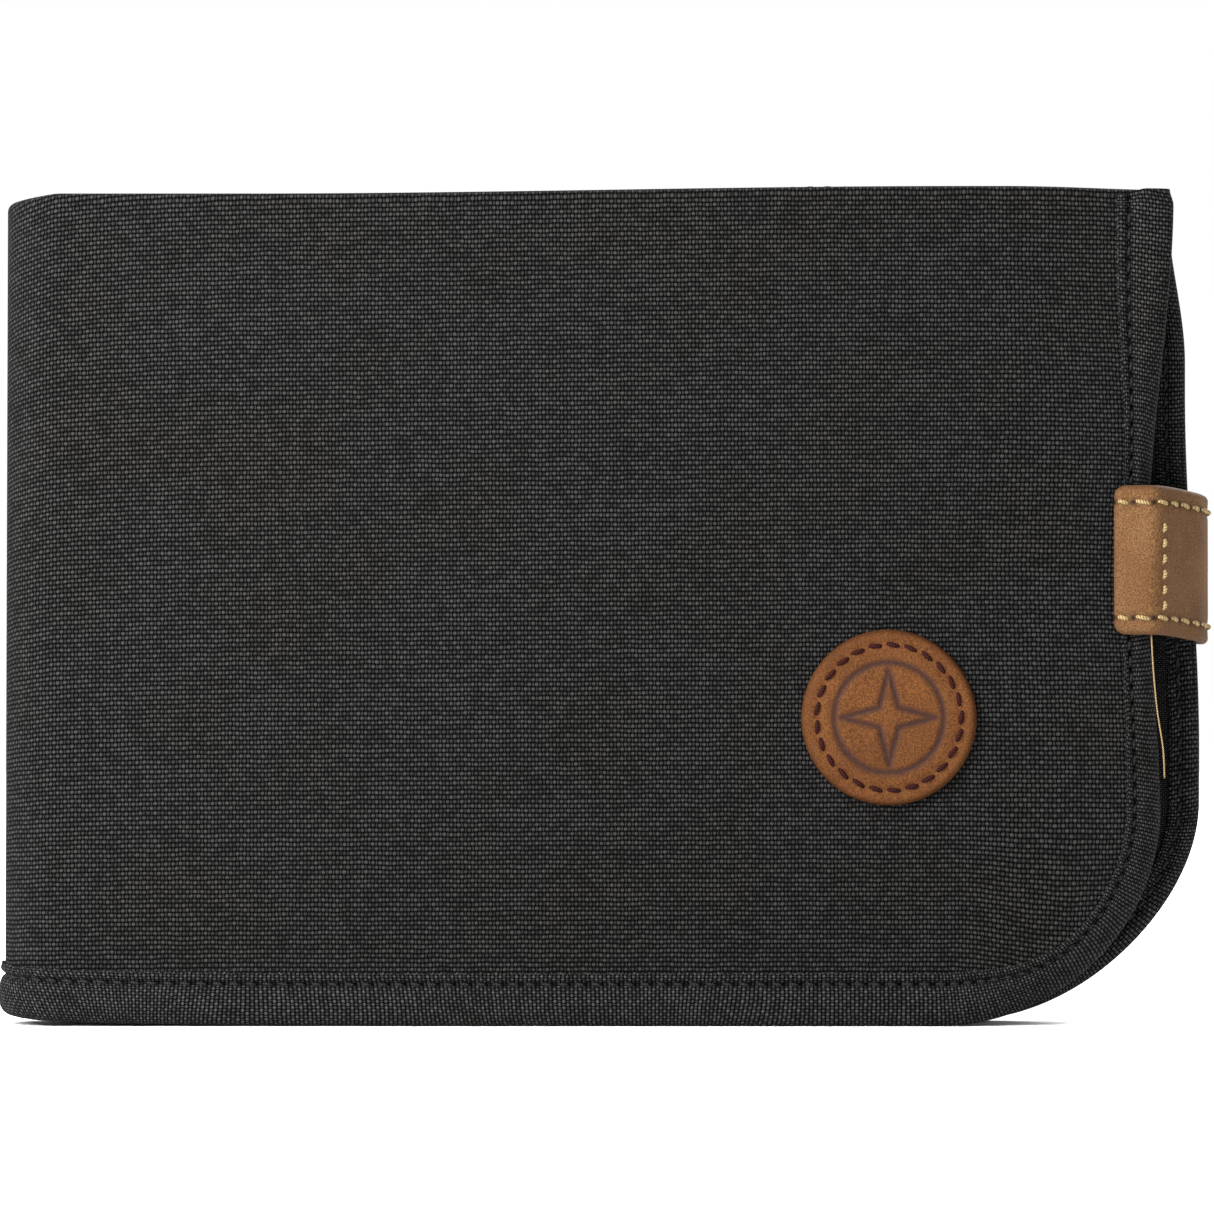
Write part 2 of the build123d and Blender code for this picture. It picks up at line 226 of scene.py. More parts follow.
# ---------------------------------------------------------------- mesh tools
def make_mesh(name, points, faces, uvs, layers=None):
    """An object from points, faces and a UV for each point."""
    mesh = bpy.data.meshes.new(name)
    mesh.from_pydata(points, [], faces)
    mesh.update()
    uv_layer = mesh.uv_layers.new(name="cloth")
    for loop in mesh.loops:
        uv_layer.data[loop.index].uv = uvs[loop.vertex_index]
    for layer, values in (layers or {}).items():
        attribute = mesh.attributes.new(layer, "FLOAT", "POINT")
        attribute.data.foreach_set("value", values)
    mesh.shade_smooth()
    thing = bpy.data.objects.new(name, mesh)
    bpy.context.scene.collection.objects.link(thing)
    return thing


def outward(thing):
    """Turns every face of a closed piece to the outside."""
    work = bmesh.new()
    work.from_mesh(thing.data)
    bmesh.ops.recalc_face_normals(work, faces=work.faces)
    work.to_mesh(thing.data)
    work.free()
    return thing


def closed_sheet(name, outer, inner, uvs):
    """A thin closed solid from two grids of points of the same size."""
    rows, columns = len(outer), len(outer[0])
    points = [p for row in outer for p in row] + [p for row in inner for p in row]
    flat_uvs = [uv for row in uvs for uv in row] * 2
    back = rows * columns
    faces = []

    def at(i, j, offset=0):
        return offset + i * columns + j

    for i in range(rows - 1):
        for j in range(columns - 1):
            faces.append((at(i, j), at(i, j + 1), at(i + 1, j + 1), at(i + 1, j)))
            faces.append(
                (at(i, j, back), at(i + 1, j, back), at(i + 1, j + 1, back), at(i, j + 1, back))
            )
    for i in range(rows - 1):
        for j in (0, columns - 1):
            faces.append((at(i, j), at(i + 1, j), at(i + 1, j, back), at(i, j, back)))
    for j in range(columns - 1):
        for i in (0, rows - 1):
            faces.append((at(i, j), at(i, j + 1), at(i, j + 1, back), at(i, j, back)))
    return outward(make_mesh(name, points, faces, flat_uvs))


def tube_faces(rings, around):
    """The faces of a tube of rings with so many points around, its two ends last."""
    faces = []
    for i in range(rings - 1):
        low, high = i * around, (i + 1) * around
        for j in range(around):
            k = (j + 1) % around
            faces.append((low + j, low + k, high + k, high + j))
    faces.append(tuple(range(around)))
    faces.append(tuple((rings - 1) * around + j for j in range(around)))
    return faces


def swept(name, rings, uvs, layers=None):
    """A closed solid from rings of points, with its two ends filled in and shaded flat."""
    points = [p for ring in rings for p in ring]
    flat_uvs = [uv for ring in uvs for uv in ring]
    faces = tube_faces(len(rings), len(rings[0]))
    thing = outward(make_mesh(name, points, faces, flat_uvs, layers=layers))
    for end in (-1, -2):
        thing.data.polygons[end].use_smooth = False
    return thing


def joined(name, parts):
    """One object from several (points, faces, uvs) groups."""
    points, faces, uvs = [], [], []
    for part_points, part_faces, part_uvs in parts:
        start = len(points)
        points += part_points
        faces += [tuple(start + k for k in face) for face in part_faces]
        uvs += part_uvs
    return outward(make_mesh(name, points, faces, uvs))


def steps(low, high, step):
    """Evenly spaced numbers from low to high, no further apart than step."""
    count = max(1, math.ceil((high - low) / step))
    return [low + (high - low) * k / count for k in range(count + 1)]


def curve_through(points, per_span):
    """A smooth run of points through a few (a, b) pairs, as a Catmull-Rom curve."""
    ends = [points[0]] + list(points) + [points[-1]]
    out = []
    for k in range(1, len(ends) - 2):
        p0, p1, p2, p3 = (Vector(ends[k + offset]) for offset in (-1, 0, 1, 2))
        for m in range(per_span):
            t = m / per_span
            out.append(
                0.5
                * (
                    2 * p1
                    + (p2 - p0) * t
                    + (2 * p0 - 5 * p1 + 4 * p2 - p3) * t * t
                    + (3 * p1 - p0 - 3 * p2 + p3) * t**3
                )
            )
    out.append(Vector(points[-1]))
    return out


# ---------------------------------------------------------------- the covers' cloth
def along_limit(side, z, inset):
    """How far along the cloth a row at this height runs before an inset edge."""
    radius = CORNER - inset
    right = RIGHT[side] - inset
    height = z - inset
    if height < radius:
        right += math.sqrt(max(0.0, radius**2 - (radius - height) ** 2)) - radius
    return along_at(right)


def profile_sheet(name, profile, row_at, swell_at, side):
    """A sheet of cloth that follows a (z, depth, half thickness) profile from row to row.

    row_at(z) gives the places along a row and swell_at(along, z) how far it stands out.
    """
    outer, inner, uvs = [], [], []
    travelled = profile[0][0]
    for k, (z, depth, half) in enumerate(profile):
        z0, d0, _ = profile[max(0, k - 1)]
        z1, d1, _ = profile[min(len(profile) - 1, k + 1)]
        run = math.hypot(z1 - z0, d1 - d0)
        normal_z, normal_d = -(d1 - d0) / run, (z1 - z0) / run
        if k:
            travelled += math.hypot(z - z0, depth - d0)
        rows = ([], [], [])
        for along in row_at(z):
            puffed = depth + swell_at(along, z)
            rows[0].append(place(side, along, z + normal_z * half, puffed + normal_d * half))
            rows[1].append(place(side, along, z - normal_z * half, puffed - normal_d * half))
            rows[2].append((along, travelled))
        outer.append(rows[0])
        inner.append(rows[1])
        uvs.append(rows[2])
    return closed_sheet(name, outer, inner, uvs)


def cloth_rows(side, name, profile, inset, first=0.0):
    """A cover's sheet of cloth from its profile, bottom to top."""
    count = math.ceil(along_at(RIGHT[side]) / MESH_STEP)

    def row_at(z):
        limit = along_limit(side, z, inset)
        return [first + (limit - first) * j / count for j in range(count + 1)]

    def swell_at(along, z):
        return swell(side, along, z)

    return profile_sheet(name, profile, row_at, swell_at, side)


def across_spine(thing, side):
    """Bakes the piece's place into its mesh; the span where its cover meets the rolled spine is worked out
    but not used.
    """
    joint = fold_back if side == BACK else fold_front
    reach = ROLL * 0.55
    start = Vector((SPINE_X - ROLL, joint.y - side * reach, 0))
    end = Vector((SPINE_X, joint.y + side * reach, 0))
    start.z = end.z = HEIGHT / 2
    if side == BACK:
        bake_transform(thing)
    else:
        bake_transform(thing)


def canvas_profile():
    """From the bound bottom edge up the outside, over the top and down inside as a turned hem."""
    out_depth = COVER_OUTER - CANVAS / 2
    in_half = 0.17 * MM
    in_depth = PANEL_OUTER + 0.2 * MM
    radius = (out_depth - in_depth) / 2
    crown = HEIGHT - radius - CANVAS / 2
    profile = [(z, out_depth, CANVAS / 2) for z in steps(0.5 * MM, crown, MESH_STEP)]
    for k in range(1, 12):
        turned = math.pi * k / 12
        half = CANVAS / 2 + (in_half - CANVAS / 2) * k / 12
        depth = in_depth + radius + radius * math.cos(turned)
        profile.append((crown + radius * math.sin(turned), depth, half))
    profile += [(z, in_depth, in_half) for z in reversed(steps(crown - HEM, crown, 2 * MM))]
    return profile


def flat_profile(depth, half, low, high):
    """A plain layer with a rounded top edge."""
    profile = [(z, depth, half) for z in steps(low, high - 2 * half, 2 * MM)]
    for k in range(1, 5):
        turned = math.pi / 2 * k / 5
        profile.append((high - 2 * half + 2 * half * math.sin(turned), depth, half * math.cos(turned)))
    return profile


def cover_sheet(side, layer, kind, node, profile):
    """One layer of cloth that runs from the cover's edge to the middle of the spine."""
    name = SIDE_NAME[side]
    sheet = cloth_rows(side, f"{name}_{layer}", profile, CUT_EDGE)
    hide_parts(f"{name}_{node}", f"spine_{node}")
    finish_piece(sheet, kind)
    across_spine(sheet, side)


def cover_board(side):
    """The foam board inside a cover, which stops short of the rolled spine."""
    name = SIDE_NAME[side]
    depth = (BOARD_INNER + BOARD_OUTER) / 2
    half = (BOARD_OUTER - BOARD_INNER) / 2 - 0.05 * MM
    profile = flat_profile(depth, half, 1 * MM, HEIGHT - 4 * MM)
    board = cloth_rows(side, f"{name}_board", profile, 2 * CUT_EDGE, first=QUARTER + 2 * MM)
    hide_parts(f"{name}_stiffener")
    finish_piece(board, "foam")
    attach(board, name)


def cover_cloth(side):
    """The canvas, lining, inner panel and board of one cover."""
    low = 0.5 * MM
    lining_top, panel_top = HEIGHT - HEM * 0.4, HEIGHT - 3 * MM
    lining = flat_profile(LINING_OUTER - LINING / 2, LINING / 2, low, lining_top)
    panel = flat_profile(PANEL_OUTER - PANEL / 2, PANEL / 2, low, panel_top)
    cover_sheet(side, "canvas", "canvas", "cover", canvas_profile())
    cover_sheet(side, "lining_cloth", "lining", "lining", lining)
    cover_sheet(side, "panel_cloth", "lining", "inner_panel", panel)
    cover_board(side)


# ---------------------------------------------------------------- the edge binding
def edge_path(side, step):
    """Stations round a cover's bound edge: (along, z, inward along, inward z, travelled)."""
    right = along_at(RIGHT[side])
    stations = []
    for z in reversed(steps(CORNER, HEIGHT, step)):
        stations.append((right, z, -1.0, 0.0, HEIGHT - z))
    travelled = HEIGHT - CORNER
    arc = CORNER * math.pi / 2
    count = math.ceil(arc / step)
    for k in range(1, count + 1):
        turned = math.pi / 2 * k / count
        inward = (-math.cos(turned), math.sin(turned))
        along = right - CORNER + CORNER * math.cos(turned)
        z = CORNER - CORNER * math.sin(turned)
        stations.append((along, z, inward[0], inward[1], travelled + arc * k / count))
    travelled += arc
    start = right - CORNER
    for along in reversed(steps(0.0, start, step)[:-1]):
        stations.append((along, 0.0, 0.0, 1.0, travelled + start - along))
    return stations


def tape_loop():
    """The binding's closed outline as (inset from the edge, depth), outer fold edge first."""
    face, back = TAPE_OUTER / MM, LINING_OUTER / MM
    middle = (face + back - 1.6) / 2
    outer = [
        (6.45, face - 0.75),
        (6.72, face - 0.35),
        (6.45, face - 0.02),
        (5.90, face + 0.02),
        (5.30, face - 0.55),
        (4.70, face - 0.05),
        (3.20, face + 0.32),
        (1.50, face + 0.24),
        (0.35, face - 0.40),
        (0.00, middle),
        (0.35, back - 0.95),
        (1.30, back - 1.75),
        (2.10, back - 1.70),
        (2.65, back - 1.32),
        (3.30, back - 1.62),
        (3.90, back - 1.45),
        (3.70, back - 1.15),
    ]
    inside = [
        (2.40, back - 1.10),
        (0.95, back - 0.60),
        (0.55, middle),
        (0.95, face - 0.90),
        (2.40, face - 0.75),
        (4.50, face - 0.95),
    ]
    outline = curve_through([(a * MM, b * MM) for a, b in outer], 4)
    return outline + [Vector((a * MM, b * MM)) for a, b in inside]


def edge_binding(side):
    """The folded tape sewn round the open edge, the corner and the bottom."""
    name = SIDE_NAME[side]
    loop = tape_loop()
    rings, uvs = [], []
    for along, z, in_along, in_z, travelled in edge_path(side, 0.55 * MM):
        ring, ring_uvs = [], []
        round_loop = 0.0
        ripple = noise.noise(Vector((travelled * 260, side * 5.0, 0))) * 0.10 * MM
        for k, spot in enumerate(loop):
            inset, depth = spot
            if k:
                round_loop += (spot - loop[k - 1]).length
            crimp = ripple * math.sin(math.pi * min(1.0, inset / TAPE_WIDTH))
            here_along = max(0.0, along + in_along * inset) if along > 0 else 0.0
            droop = 0.9 * MM * smooth((inset / MM - 3) / 3.4) + 0.02 * MM
            here_z = z + in_z * inset - droop * smooth(1 - (HEIGHT - z) / (3 * MM))
            lift = 0.0
            if inset > 4 * MM and depth > BOARD_INNER:
                lift = min(0.6 * swell(side, here_along, max(here_z, TAPE_WIDTH)), 0.1 * MM)
            ring.append(place(side, here_along, here_z, depth + crimp + lift))
            ring_uvs.append((travelled, round_loop))
        rings.append(ring)
        uvs.append(ring_uvs)
    binding = swept(f"{name}_edge_tape", rings, uvs)
    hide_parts(f"{name}_binding", "spine_binding")
    length = edge_path(side, 5 * MM)[-1][4]
    finish_piece(binding, "tape")
    across_spine(binding, side)


def stitch_between(spot_a, spot_b, lift, radius, slant=0.0):
    """A short thread that rises along lift out of the hole at spot_a and dips into the one at spot_b."""
    around, length_steps = 8, 7
    sideways = (spot_b - spot_a).cross(lift).normalized() * slant
    start, end = spot_a - sideways, spot_b + sideways
    run = end - start
    across = run.cross(lift).normalized()
    up = lift.normalized()
    points, uvs = [], []
    for k in range(length_steps + 1):
        t = k / length_steps
        arch = math.sin(math.pi * t)
        centre = start.lerp(end, t) + lift * arch**0.7
        thick = radius * (0.55 + 0.45 * arch**0.5)
        for m in range(around):
            turned = 2 * math.pi * m / around
            points.append(centre + thick * (math.cos(turned) * across + math.sin(turned) * up))
            uvs.append((t * run.length, m / around))
    return points, tube_faces(length_steps + 1, around), uvs


def seam_length():
    """How far round the tape's outline, from its selvedge, the seam lies."""
    outline = tape_loop()
    seam = min(range(30), key=lambda k: abs(outline[k].x - TAPE_STITCH_INSET))
    return sum((outline[k + 1] - outline[k]).length for k in range(seam))


def binding_stitches(side, leaf, inset, depth, out_sign):
    """The row of stitches that holds one leaf of the binding on."""
    name = SIDE_NAME[side]
    stations = edge_path(side, TAPE_STITCH_PITCH / 6)
    spots = [(along + in_along * inset, z + in_z * inset) for along, z, in_along, in_z, _ in stations]
    parts = []
    for k in range(3, len(spots) - 5, 6):  # six stations to a pitch, four of them under thread
        (a0, z0), (a1, z1) = spots[k], spots[k + 4]
        if z0 > HEIGHT - 1.5 * MM or a1 < 0.3 * MM:
            continue
        start = place(side, a0, z0, depth)
        end = place(side, a1, z1, depth)
        out = (place(side, a0, z0, depth + out_sign * MM) - start).normalized()
        lift = (0.16 + 0.16 * smooth(a0 / QUARTER - 0.6)) * MM
        parts.append(stitch_between(start, end, out * lift, 0.21 * MM, slant=0.12 * MM))
    thread = joined(f"{name}_{leaf}_edge_stitches", parts)
    finish_piece(thread, "grey_thread")
    across_spine(thread, side)


def selvedge(side, leaf, width, centre_depth):
    """The looped edge of one leaf of the tape, which gives it its scalloped outline."""
    name = SIDE_NAME[side]
    rings, uvs = [], []
    around = 6
    radius = 0.20 * MM
    loop_pitch = 0.62 * MM
    for along, z, in_along, in_z, travelled in edge_path(side, loop_pitch / 5):
        if z > HEIGHT - 1.4 * MM:
            continue
        turn = 2 * math.pi * travelled / loop_pitch
        inset = width - 0.12 * MM + 0.13 * MM * math.sin(turn)
        ring, ring_uvs = [], []
        for k in range(around):
            turned = 2 * math.pi * k / around
            reach = inset + radius * math.cos(turned)
            here_along = max(0.0, along + in_along * reach) if along > 0 else 0.0
            here_z = z + in_z * reach
            ring.append(place(side, here_along, here_z, centre_depth + radius * math.sin(turned)))
            ring_uvs.append((travelled, reach))
        rings.append(ring)
        uvs.append(ring_uvs)
    loops = swept(f"{name}_{leaf}_tape_selvedge", rings, uvs)
    finish_piece(loops, "tape")
    across_spine(loops, side)


def hem_stitches(side):
    """The row of stitches along the top edge, which rolls over to the inside towards the spine."""
    name = SIDE_NAME[side]
    parts = []
    pitch = 2.2 * MM
    crown = 1.75 * MM  # radius of the hem's rolled top
    sunk = crown - 0.30 * MM
    along = along_at(RIGHT[side]) - 8.5 * MM
    while along > QUARTER:
        turned = math.radians(-45 + 123 * smooth((nominal_x(along) / MM - 8) / 45))
        z = HEIGHT - crown + sunk * math.cos(turned)
        depth = cover_depth(side, along, HEIGHT) - crown + sunk * math.sin(turned)
        start = place(side, along, z, depth)
        end = place(side, along - pitch * 0.68, z, depth)
        out = Vector((0, side * math.sin(turned), math.cos(turned))) * 0.13 * MM
        parts.append(stitch_between(start, end, out, 0.18 * MM, slant=0.08 * MM))
        along -= pitch
    thread = joined(f"{name}_hem_stitches", parts)
    finish_piece(thread, "grey_thread")
    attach(thread, name)


# ---------------------------------------------------------------- the leather patch
patch_low, patch_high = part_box("leather_patch")
PATCH_X = (patch_low[0] + patch_high[0]) / 2
PATCH_Z = (patch_low[2] + patch_high[2]) / 2
PATCH_RADIUS = (patch_high[0] - patch_low[0]) / 2
PATCH_SEAM = PATCH_RADIUS - 1.75 * MM


def star_distance(x, z, arm, waist):
    """Distance to the outline of a plain four-pointed compass star."""
    corners = []
    for k in range(8):
        reach = waist if k % 2 else arm
        turned = math.pi / 4 * k + math.pi / 2
        corners.append((reach * math.cos(turned), reach * math.sin(turned)))
    nearest = 1.0
    for (ax, az), (bx, bz) in zip(corners, corners[1:] + corners[:1]):
        run = ((bx - ax) ** 2 + (bz - az) ** 2) or 1.0
        t = max(0.0, min(1.0, ((x - ax) * (bx - ax) + (z - az) * (bz - az)) / run))
        nearest = min(nearest, math.hypot(x - ax - t * (bx - ax), z - az - t * (bz - az)))
    return nearest


def patch_surface(r, x, z):
    """At a place on the patch: its thickness, how far it is pressed in and how near the edge it is."""
    rim = 0.8 * MM
    groove = 0.29 * MM
    edge = max(0.0, (r - PATCH_RADIUS + rim) / rim)
    body = PATCH_THICK - 0.55 * MM * (1 - math.sqrt(max(0.0, 1 - edge**2)))
    wobble = noise.noise(Vector((x * 300, z * 300, 2.0))) * 0.03 * MM
    channel = bell((r - PATCH_SEAM) / (0.42 * MM)) * 0.16 * MM
    ring_line = bell((r - 6.9 * MM) / groove)
    star_line = bell(star_distance(x, z, 5.9 * MM, 1.75 * MM) / groove)
    press = min(1.0, ring_line + star_line)
    crown = 0.22 * MM * (1 - (r / PATCH_RADIUS) ** 2)
    return body + wobble - channel - 0.24 * MM * press + crown, press, edge


def on_canvas(x, z, up):
    """The point so far above the front canvas, at a place measured from the patch's middle."""
    along = along_at(PATCH_X + x)
    return place(FRONT, along, PATCH_Z + z, cover_depth(FRONT, along, PATCH_Z + z) + up)


def leather_patch():
    """A round leather patch with a burnished edge, a stitched border and a pressed compass star."""
    around, rings = 240, 56
    points, uvs, presses, edges = [], [], [], []

    def add(r, turned, side_height=None):
        x, z = r * math.cos(turned), r * math.sin(turned)
        up, press, edge = patch_surface(r, x, z)
        if side_height is not None:
            up, press, edge = side_height, 0.0, 1.0
        points.append(on_canvas(x, z, up))
        uvs.append((x, z))
        presses.append(press)
        edges.append(edge)

    turns = [2 * math.pi * k / around for k in range(around)]
    add(0.0, 0.0)
    for ring in range(1, rings + 1):
        for turned in turns:
            add(PATCH_RADIUS * (ring / rings), turned)
    for side_height, grow in ((0.45, 0.12), (0.1, 0.0), (-0.1, -0.3)):
        for turned in turns:
            add(PATCH_RADIUS + grow * MM, turned, side_height * MM)
    faces = [(0, 1 + k, 1 + (k + 1) % around) for k in range(around)]
    for ring in range(rings + 2):
        for k in range(around):
            a, b = 1 + ring * around + k, 1 + ring * around + (k + 1) % around
            faces.append((a, a + around, b + around, b))
    faces.append(tuple(1 + (rings + 2) * around + k for k in range(around)))
    patch = make_mesh("round_patch", points, faces, uvs, layers={"press": presses, "edge": edges})
    outward(patch)
    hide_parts("leather_patch")
    finish_piece(patch, "patch_leather")
    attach(patch, "front")


def patch_stitches():
    """The ring of stitches inside the patch's edge."""
    parts = []
    lift = Vector((0, -1, 0)) * 0.36 * MM
    for k in range(PATCH_STITCHES):
        ends = []
        for offset in (-0.40, 0.40):
            turned = 2 * math.pi * (k + offset) / PATCH_STITCHES
            x, z = PATCH_SEAM * math.cos(turned), PATCH_SEAM * math.sin(turned)
            ends.append(on_canvas(x, z, PATCH_THICK - 0.26 * MM))
        parts.append(stitch_between(ends[0], ends[1], lift, 0.29 * MM, slant=0.16 * MM))
    thread = joined("patch_thread", parts)
    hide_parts("patch_stitching")
    finish_piece(thread, "burgundy_thread")
    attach(thread, "front")


# ---------------------------------------------------------------- the strap
def rounded_route(points, radii, step):
    """A route of straight runs with round bends: (x, y, direction angle, travelled)."""
    route = []
    travelled = 0.0
    here = Vector(points[0])

    def straight(arrive, stop):
        """Adds the stations of a straight run, all but its end."""
        angle = math.atan2(arrive.y, arrive.x)
        for t in steps(0, (stop - here).length, step)[:-1]:
            spot = here + arrive * t
            route.append((spot.x, spot.y, angle, travelled + t))
        return angle

    for k, radius in enumerate(radii, start=1):
        corner = Vector(points[k])
        arrive = (corner - here).normalized()
        leave = (Vector(points[k + 1]) - corner).normalized()
        turn = abs(arrive.angle_signed(leave))
        cut = radius * math.tan(turn / 2)
        stop = corner - arrive * cut
        angle = straight(arrive, stop)
        travelled += (stop - here).length
        side = 1 if arrive.cross(leave) > 0 else -1
        centre = stop + side * radius * Vector((-arrive.y, arrive.x))
        out = stop - centre
        count = max(3, math.ceil(radius * turn / step))
        for m in range(count):
            swing = side * turn * m / count
            x = centre.x + out.x * math.cos(swing) - out.y * math.sin(swing)
            y = centre.y + out.x * math.sin(swing) + out.y * math.cos(swing)
            route.append((x, y, angle + swing, travelled + radius * turn * m / count))
        travelled += radius * turn
        here = corner + leave * cut
    last = Vector(points[-1])
    angle = straight((last - here).normalized(), last)
    travelled += (last - here).length
    route.append((last.x, last.y, angle, travelled))
    return route


def station_near(stations, travelled):
    """The station of a route that lies nearest to a travelled length."""
    return min(stations, key=lambda station: abs(station[3] - travelled))


def strap_route():
    """The strap's centre line in plan, from its sewn end round the open edge to its tip."""
    front_y = strap_bend_front.y
    back_y = strap_bend_back.y
    start_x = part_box("strap_front")[0][0] - 0.2 * MM
    tip_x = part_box("strap_tip")[0][0]
    return rounded_route(
        [
            (start_x, front_y),
            (68.7 * MM, front_y),
            (75.7 * MM, front_y + 8.8 * MM),
            (75.7 * MM, back_y),
            (tip_x, back_y),
        ],
        [2.2 * MM, 9 * MM, 3.6 * MM],
        0.45 * MM,
    )


def strap_z(travelled, total):
    """Height of the strap's centre line: it runs a little downhill round the edge."""
    share = travelled / total
    centre = strap_bend_front.z
    return centre + (0.5 - 1.3 * smooth((share - 0.08) / 0.3) + 0.8 * smooth((share - 0.45) / 0.2)) * MM


def strap_out(station):
    """The direction out of the strap's outer face."""
    return Vector((math.sin(station[2]), -math.cos(station[2]), 0))


def strap_point(station, total, v, h):
    """A point of the strap: v across its width, h out from its centre line."""
    x, y, _, travelled = station
    return Vector((x, y, strap_z(travelled, total) + v)) + strap_out(station) * h


def strap_half_width(travelled, total):
    """The strap's half width: rounded corners at its sewn end and a round tip."""
    corner = 1.5 * MM
    start_cut = corner * (1 - math.sqrt(1 - max(0.0, 1 - travelled / corner) ** 2))
    to_end = max(0.0, total - travelled)
    if to_end < STRAP_HALF:
        return math.sqrt(max(0.0, STRAP_HALF**2 - (STRAP_HALF - to_end) ** 2))
    return STRAP_HALF - start_cut


def strap_piece(name, stations, total, node_names):
    """A stretch of the strap, with rounded burnished edges."""
    rings, uvs, edges = [], [], []
    half_t = STRAP_THICK / 2
    for station in stations:
        travelled = station[3]
        half = max(strap_half_width(travelled, total), 0.05 * MM)
        from_cut = min(travelled, total - travelled) + 0.02 * MM
        squeeze = math.sqrt(1 - (1 - min(1.0, from_cut / half_t)) ** 2)
        thick = half_t * max(0.08, squeeze)
        flat = max(half - half_t, 0.1 * MM)
        ring, ring_uvs = [], []
        across = [flat * (2 * k / 22 - 1) for k in range(23)]
        turns = (1.2, 0.75, 0.3, -0.3, -0.75, -1.2)
        outer = [(v, thick) for v in across]
        right = [(flat + half_t * math.cos(t), thick * math.sin(t)) for t in turns]
        inner = [(v, -thick) for v in reversed(across)]
        left = [(-a, b) for a, b in reversed(right)]
        for v, h in outer + right + inner + left:
            dent = 0.0
            if h > 0:
                dent = 0.13 * MM * bell((abs(v) - STRAP_SEAM) / (0.45 * MM))
                dent += noise.noise(Vector((travelled * 180, v * 180, 9.0))) * 0.03 * MM
            ring.append(strap_point(station, total, v, h - dent))
            ring_uvs.append((travelled, v))
            cut = max(0.0, 1 - from_cut / (0.7 * MM))
            edges.append(min(1.0, max(cut, smooth((abs(v) - half + 1.0 * MM) / (0.9 * MM)))))
        rings.append(ring)
        uvs.append(ring_uvs)
    band = swept(name, rings, uvs, layers={"edge": edges})
    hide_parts(*node_names)
    finish_piece(band, "strap_leather")
    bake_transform(band)


def strap_stitch_rows(name, stations, total, body_rule, first, last, extra=()):
    """Stitches along both long edges of a stretch of the strap."""
    parts = list(extra)
    travelled = first
    while travelled < last:
        a, middle, b = (station_near(stations, travelled + STRAP_PITCH * t) for t in (0.0, 0.33, 0.66))
        lift = strap_out(middle) * 0.32 * MM
        for v in (-STRAP_SEAM, STRAP_SEAM):
            start = strap_point(a, total, v, STRAP_STITCH_DEPTH)
            end = strap_point(b, total, v, STRAP_STITCH_DEPTH)
            parts.append(stitch_between(start, end, lift, 0.28 * MM, slant=0.17 * MM))
        travelled += STRAP_PITCH
    thread = joined(name, parts)
    finish_piece(thread, "pale_thread")
    body_a, body_b, start, end = body_rule
    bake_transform(thread)
    return thread


def cross_stitches(stations, total, travelled):
    """The upright row of stitches that anchors the strap beside the cover's edge."""
    station = station_near(stations, travelled)
    lift = strap_out(station) * 0.34 * MM
    pitch = 1.95 * MM
    top = STRAP_HALF - 3.1 * MM
    parts = []
    v = -top
    while v + pitch * 0.66 < top:
        start = strap_point(station, total, v, STRAP_STITCH_DEPTH)
        end = strap_point(station, total, v + pitch * 0.66, STRAP_STITCH_DEPTH)
        parts.append(stitch_between(start, end, lift, 0.27 * MM, slant=0.12 * MM))
        v += pitch
    return parts


def loose_tail(stations, total):
    """The sewing thread's loose end, which hangs below the strap over the binding."""
    station = station_near(stations, 4.9 * MM)
    start = strap_point(station, total, -STRAP_HALF + 0.2 * MM, -0.3 * MM)
    falls = ((0, 0, 0), (0.25, 0, -4.5), (0.75, 0.35, -9.5), (1.55, 0.9, -14.5), (1.75, 1.2, -18.2))
    line = curve_through([start + Vector(fall) * MM for fall in falls], 6)
    radius = 0.10 * MM
    around = 6
    points, uvs = [], []
    for k, spot in enumerate(line):
        for m in range(around):
            turned = 2 * math.pi * m / around
            points.append(spot + radius * Vector((math.cos(turned), math.sin(turned), 0)))
            uvs.append((k * MM, m / around))
    return points, tube_faces(len(line), around), uvs


def strap():
    """The whole strap, split half way across the wallet's thickness, where no bend reaches it."""
    route = strap_route()
    total = route[-1][3]
    split_y = (strap_bend_front.y + strap_bend_back.y) / 2
    split = next(k for k, s in enumerate(route) if s[1] > split_y)
    fine_start = [(route[0][0] + t * MM, route[0][1], 0.0, t * MM) for t in (0.1, 0.25)]
    front_part = [route[0]] + fine_start + route[1 : split + 1]
    back_part = route[split:]
    z = strap_bend_front.z
    front_rule = (
        "front",
        "strap_side",
        (strap_bend_front.x - 2.4 * MM, strap_bend_front.y, z),
        (strap_bend_front.x + 1.5 * MM, strap_bend_front.y + 2.6 * MM, z),
    )
    back_rule = (
        "strap_side",
        "strap_tip",
        (strap_bend_back.x, strap_bend_back.y - 3.5 * MM, z),
        (strap_bend_back.x - 3.5 * MM, strap_bend_back.y, z),
    )
    strap_piece("strap_front_leather", front_part, total, ["strap_front", "strap_side"])
    strap_piece("strap_back_leather", back_part, total, ["strap_tip"])
    extra = cross_stitches(route, total, 6.2 * MM) + [loose_tail(route, total)]
    at_split = route[split][3]
    first = FIRST_STRAP_STITCH
    thread = strap_stitch_rows("strap_front_thread", route, total, front_rule, first, at_split, extra)
    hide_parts("strap_stitching")
    first += STRAP_PITCH * math.ceil((at_split - first) / STRAP_PITCH)
    strap_stitch_rows("strap_back_thread", route, total, back_rule, first, total - 8 * MM)


